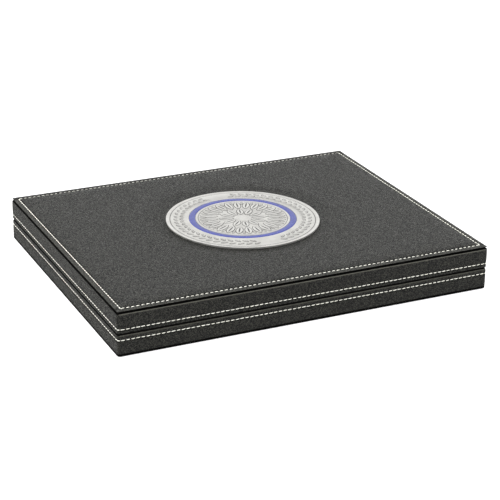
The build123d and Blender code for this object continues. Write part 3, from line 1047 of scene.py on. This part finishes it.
satin, shader, place = new_finish(
    "ivory satin", Roughness=0.42, Specular_IOR_Level=0.5, Sheen_Weight=0.3, Sheen_Roughness=0.3)
weave = scaled(woven(place, "X", 700.0, 1.5, 1.0, 3.0), 0.7,
               scaled(woven(place, "Y", 420.0, 1.5, 1.0, 3.0), 0.5))
ivory = slow_shade(place, 30, (208, 200, 180), (215, 208, 190))
feed(shader, Roughness=ramp(weave, 0.0, 1.2, 0.52, 0.34),
     Base_Color=flecked(ivory, weave, (0.2, 1.0), (0.22, 0.0), (178, 168, 145)))
emboss(shader, weave, 0.35, 0.08)

lining_low, lining_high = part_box("lid_lining_pad")
lining = foam_block("lid_lining_satin", lining_low, lining_high, 2.5 * mm, 3)
pick(lining, "EDGE", lambda e: is_level(e, lining_low.z))
round_edges(1 * mm, 2)
stop_editing()
modify(lining, "REMESH", mode="VOXEL", voxel_size=4.5 * mm)
lining_back = lining.vertex_groups.new(name="glued back")
lining_back.add([v.index for v in lining.data.vertices if v.co.z > lining_high.z - 2.2 * mm],
                1.0, "REPLACE")
before = [v.co.copy() for v in lining.data.vertices]
take(lining)
cloth = lining.modifiers.new("Cloth", "CLOTH")
fabric = cloth.settings
fabric.quality, fabric.mass, fabric.bending_stiffness = 6, 0.15, 0.4
fabric.tension_stiffness = fabric.compression_stiffness = 12
fabric.use_pressure, fabric.uniform_pressure_force = True, 4
fabric.vertex_group_mass = "glued back"
fabric.effector_weights.gravity = 0
cloth.point_cache.frame_start, cloth.point_cache.frame_end = 1, 20
for frame_number in range(1, 21):
    scene.frame_set(frame_number)
bpy.ops.object.modifier_apply(modifier=cloth.name)
scene.frame_set(1)
most = 3.2 * mm
for vertex, start in zip(lining.data.vertices, before):
    moved = vertex.co - start
    if moved.length > most:
        vertex.co = start + moved * (most / moved.length)
modify(lining, "SUBSURF", levels=1, render_levels=1)

gather_pitch, gather_depth, gather_reach = 10 * mm, 1.1 * mm, 7 * mm
loose_depth = 0.35 * mm
reach = [max(abs(v.co[axis]) for v in lining.data.vertices) for axis in (0, 1)]
for vertex in lining.data.vertices:
    vertex.co.x *= lining_high.x / reach[0]
    vertex.co.y *= lining_high.y / reach[1]
    x, y, z = vertex.co
    from_x, from_y = lining_high.x - abs(x), lining_high.y - abs(y)
    near, run = (from_x, y) if from_x < from_y else (from_y, x)
    if z < lining_high.z - 1.5 * mm:
        gather = math.sin(2 * math.pi * run / gather_pitch + 2.2 * swells(x, y, 0, 30 * mm))
        fade = math.exp(-max(near - 1 * mm, 0) / gather_reach) * part_of(near, 2 * mm)
        loose = swells(x, y, 5, 26 * mm) + 0.5 * swells(x, y, 9, 11 * mm)
        vertex.co.z += gather_depth * gather * fade \
            + loose_depth * loose * min(near / (10 * mm), 1)
    vertex.co.z = min(vertex.co.z, lining_high.z)
    vertex.co.x = max(min(vertex.co.x, lining_high.x), lining_low.x)
    vertex.co.y = max(min(vertex.co.y, lining_high.y), lining_low.y)
smooth(lining, 60)
finish_piece(lining, satin, "lining_satin", "lid", "lid_lining_pad")

# ======== boards, battens and cards ========
# Sawn fibreboard under the leatherette, with grey card for the lining and the top panel.

def refinish(material, *nodes):
    """Gives CAD pieces that stay as they are their own finish."""
    for name in nodes:
        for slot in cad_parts[name].material_slots:
            slot.material = material


fibreboard, shader, place = new_finish("fibreboard", Roughness=0.85, Specular_IOR_Level=0.2)
fibres = speckle(place, 900.0, 4.0, Roughness=0.7)
brown = slow_shade(place, 18, (146, 116, 82), (168, 138, 100))
feed(shader, Base_Color=flecked(brown, fibres, (0.4, 0.62), (0.0, 0.5), (112, 84, 56)))
emboss(shader, fibres, 0.5, 0.1)
refinish(fibreboard, "base_bottom_board", "lid_top_board",
         *(f"{half}_{side}_wall" for half in ("base", "lid")
           for side in ("front", "back", "left", "right")))

grey_card, shader, place = new_finish("grey card", Roughness=0.9, Specular_IOR_Level=0.2)
pulp = speckle(place, 600.0, 5.0, Roughness=0.7)
grey = slow_shade(place, 25, (142, 140, 134), (158, 156, 150))
feed(shader, Base_Color=flecked(grey, pulp, (0.45, 0.7), (0.0, 0.45), (104, 102, 98)))
emboss(shader, pulp, 0.4, 0.06)
refinish(grey_card, "lid_top_card", "lid_lining_card")

# ======== sheet under the base ========
# Black textured paper that covers the turned-in hem; the case stands on it.

bottom_paper, shader, place = new_finish(
    "black textured paper", Roughness=0.8, Specular_IOR_Level=0.25)
linen = maths("MAXIMUM", woven(place, "X", 260.0, 2.5, 2.0, 4.0),
              woven(place, "Y", 240.0, 2.5, 2.0, 4.0))
black = slow_shade(place, 30, (26, 26, 27), (34, 34, 35))
feed(shader, Base_Color=flecked(black, linen, (0.3, 1.0), (0.0, 0.35), (58, 58, 60)))
emboss(shader, linen, 0.5, 0.08)
refinish(bottom_paper, "base_bottom_cover")

# ======== hinges, screws, magnets and tape ========
# Folded nickel-plated steel with a brushed grain along the hinge, plated screws and disc magnets.
# The medallion's mounting pad is white foam tape.

brushed_steel, shader, place = new_finish("nickel-plated steel", Metallic=1.0, Roughness=0.3)
along = place_node("Mapping", {"Vector": place, "Scale": (0.08, 1.0, 1.0)}).outputs[0]
brush = speckle(along, 3500.0, 3.0)
steel = slow_shade(place, 6, (186, 182, 172), (206, 203, 195))
feed(shader, Roughness=ramp(brush, 0.3, 0.7, 0.42, 0.26),
     Base_Color=flecked(steel, brush, (0.3, 0.7), (0.25, 0.0), (140, 136, 128)))
emboss(shader, brush, 0.25, 0.03)
refinish(brushed_steel, *(f"hinge_{side}_{part}" for side in ("left", "right")
                          for part in ("base_leaf", "lid_leaf", "pin")))

plated, shader, place = new_finish("plated screw steel", Metallic=1.0, Roughness=0.25)
feed(shader, Base_Color=slow_shade(place, 2, (172, 170, 166), (200, 199, 196)),
     Roughness=ramp(speckle(place, 1800.0, 3.0), 0.3, 0.75, 0.2, 0.42))
refinish(plated, "hinge_base_screws", "hinge_lid_screws", "base_magnets", "lid_magnets")

foam_tape, shader, place = new_finish("white foam tape", Roughness=0.9)
bubbles = place_node("TexVoronoi", {"Vector": place, "Scale": 2500.0}).outputs["Distance"]
feed(shader, Base_Color=flecked(linear(226, 225, 218), bubbles, (0.1, 0.7), (0.0, 1.0),
                                (186, 184, 176)))
refinish(foam_tape, "medallion_adhesive_pad")

# ======== camera, lamps, floor and backdrop ========
# A plain pale floor, soft lamps and a white surround.
# To the camera and in reflections they are brighter than the light they give the case.

camera = bpy.data.objects.new("camera", bpy.data.cameras.new("camera"))
scene.collection.objects.link(camera)
scene.camera = camera
camera.data.lens = 119.137
camera.data.clip_start, camera.data.clip_end = 0.05, 20
camera.matrix_world = Matrix((
    (0.90673, 0.15212, -0.39332, -0.516055),
    (-0.42153, 0.35393, -0.83489, -1.110645),
    (0.01221, 0.92282, 0.38504, 0.521515),
    (0, 0, 0, 1)))


def soft_lamp(name, location, size, power):
    """A round lamp that faces the case and isn't mirrored in it."""
    lamp = bpy.data.objects.new(name, bpy.data.lights.new(name, "AREA"))
    lamp.data.shape = "DISK"
    lamp.data.size = size
    lamp.data.energy = power
    lamp.location = location
    lamp.rotation_euler = (-Vector(location)).to_track_quat("-Z", "Y").to_euler()
    lamp.visible_glossy = False
    scene.collection.objects.link(lamp)


soft_lamp("key_lamp", (-1.75, 0.25, 1.15), 1.1, 52)
soft_lamp("front_lamp", (-0.3, -2.2, 0.8), 1.5, 38)
soft_lamp("overhead_lamp", (0.66, -0.55, 2.0), 1.2, 24)

bpy.ops.mesh.primitive_plane_add(size=14, location=(0, 0, -0.15 * mm))
floor = made_piece("floor")
white = (1, 1, 1, 1)
pale, shader, place = new_finish(
    "pale floor", Roughness=0.9, Specular_IOR_Level=0.1, Emission_Color=white)
rays = place_node("LightPath", tree=shader.id_data).outputs
glow = scaled(rays["Is Camera Ray"], 0.62)
glow = scaled(rays["Is Glossy Ray"], 0.38, glow)
feed(shader, Base_Color=blend_colours(rays["Is Camera Ray"], linear(150, 150, 150),
                                      linear(218, 218, 218)),
     Emission_Strength=scaled(rays["Is Transmission Ray"], 0.25, glow))
floor.data.materials.append(pale)

world = bpy.data.worlds.new("surround")
scene.world = world
world.use_nodes = True
surround = world.node_tree.nodes["Background"]
surround.inputs["Color"].default_value = white
rays = place_node("LightPath", tree=world.node_tree).outputs
seen = maths("MAXIMUM", rays["Is Camera Ray"], rays["Is Glossy Ray"])
seen = maths("MAXIMUM", seen, rays["Is Transmission Ray"])
feed(surround, Strength=ramp(seen, 0.0, 1.0, 0.36, 1.27))
scene.view_settings.view_transform = "Standard"
